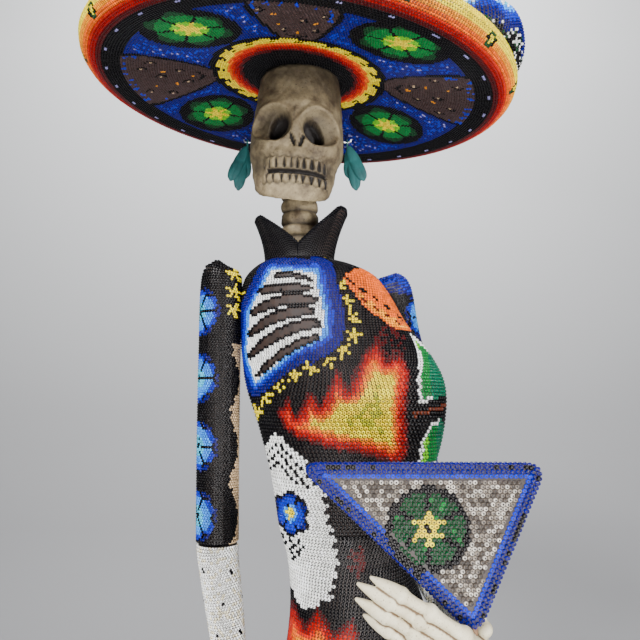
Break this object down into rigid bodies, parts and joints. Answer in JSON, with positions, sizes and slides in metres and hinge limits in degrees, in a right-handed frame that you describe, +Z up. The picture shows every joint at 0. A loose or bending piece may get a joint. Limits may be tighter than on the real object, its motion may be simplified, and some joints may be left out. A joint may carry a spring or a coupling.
{
  "type": "papier-mache catrina figure",
  "caption": "Standing lady figure with a skull face, wide hat with a rolled rim, high collar, long flared skirt and a hand fan, covered in seed beads.",
  "frame": {"origin": "centre of the base disc's bottom face, on the surface that the figure stands on", "axes": "+Z up, the figure faces -Y, +X to its left hand's side (the viewer's right)"},
  "size_m": [0.3086, 0.2934, 0.8312],
  "materials": {
    "wood": "matt",
    "cardboard": "matt",
    "black_beads": "glossy seed beads set in dark wax over papier-mache",
    "red_beads": "glossy seed beads set in dark wax over papier-mache",
    "blue_beads": "glossy seed beads set in dark wax over papier-mache",
    "green_beads": "glossy seed beads set in dark wax over papier-mache",
    "white_beads": "glossy seed beads set in dark wax over papier-mache",
    "pearl_beads": "pearly seed beads set in dark wax over board",
    "bone_clay": "papier-mache painted bone colour with a brown wash",
    "pale_clay": "papier-mache painted ivory with a brown wash",
    "teal_clay": "painted matt teal",
    "steel_wire": "drawn wire"
  },
  "bodies": {
    "figure": {"base_disc": "wood", "post_block": "wood", "center_post": "wood", "shoulder_yoke": "wood", "neck_socket": "wood", "fan_grip": "wood", "skirt_shell": "black_beads", "collar": "black_beads", "right_sleeve": "black_beads", "left_sleeve": "black_beads", "bodice_shell": "red_beads", "hem_band": "blue_beads", "right_forearm": "white_beads", "left_forearm": "white_beads", "fan_panel": "pearl_beads", "right_hand": "pale_clay", "left_hand": "pale_clay", "right_arm_wire": "steel_wire", "left_arm_wire": "steel_wire"},
    "neck": {"neck_peg": "wood"},
    "head": {"skull": "bone_clay", "neck_vertebrae": "bone_clay", "earring_hook_right": "steel_wire", "earring_hook_left": "steel_wire"},
    "earring_right": {"earring_right": "teal_clay"},
    "earring_left": {"earring_left": "teal_clay"},
    "hat": {"hat_brim": "green_beads", "hat_crown": "blue_beads", "hat_band": "red_beads", "hat_cup": "cardboard", "hat_plume": "blue_beads"}
  },
  "joints": [
    {"name": "head_lift", "type": "slide", "parent": "figure", "child": "neck", "axis": [0, 0, 1], "range_m": [0, 0.07]},
    {"name": "head_turn", "type": "hinge", "parent": "neck", "child": "head", "pos_m": [-0.03, 0, 0.6125], "axis": [0, 0, 1], "range_deg": [-25, 25]},
    {"name": "earring_right_swing", "type": "hinge", "parent": "head", "child": "earring_right", "pos_m": [-0.0673, 0.006, 0.712], "axis": [1, 0, 0], "range_deg": [-20, 20]},
    {"name": "earring_left_swing", "type": "hinge", "parent": "head", "child": "earring_left", "pos_m": [0.0033, 0.006, 0.712], "axis": [1, 0, 0], "range_deg": [-20, 20]},
    {"name": "hat_lift", "type": "slide", "parent": "head", "child": "hat", "axis": [0, 0, 1], "range_m": [0, 0.06]}
  ]
}
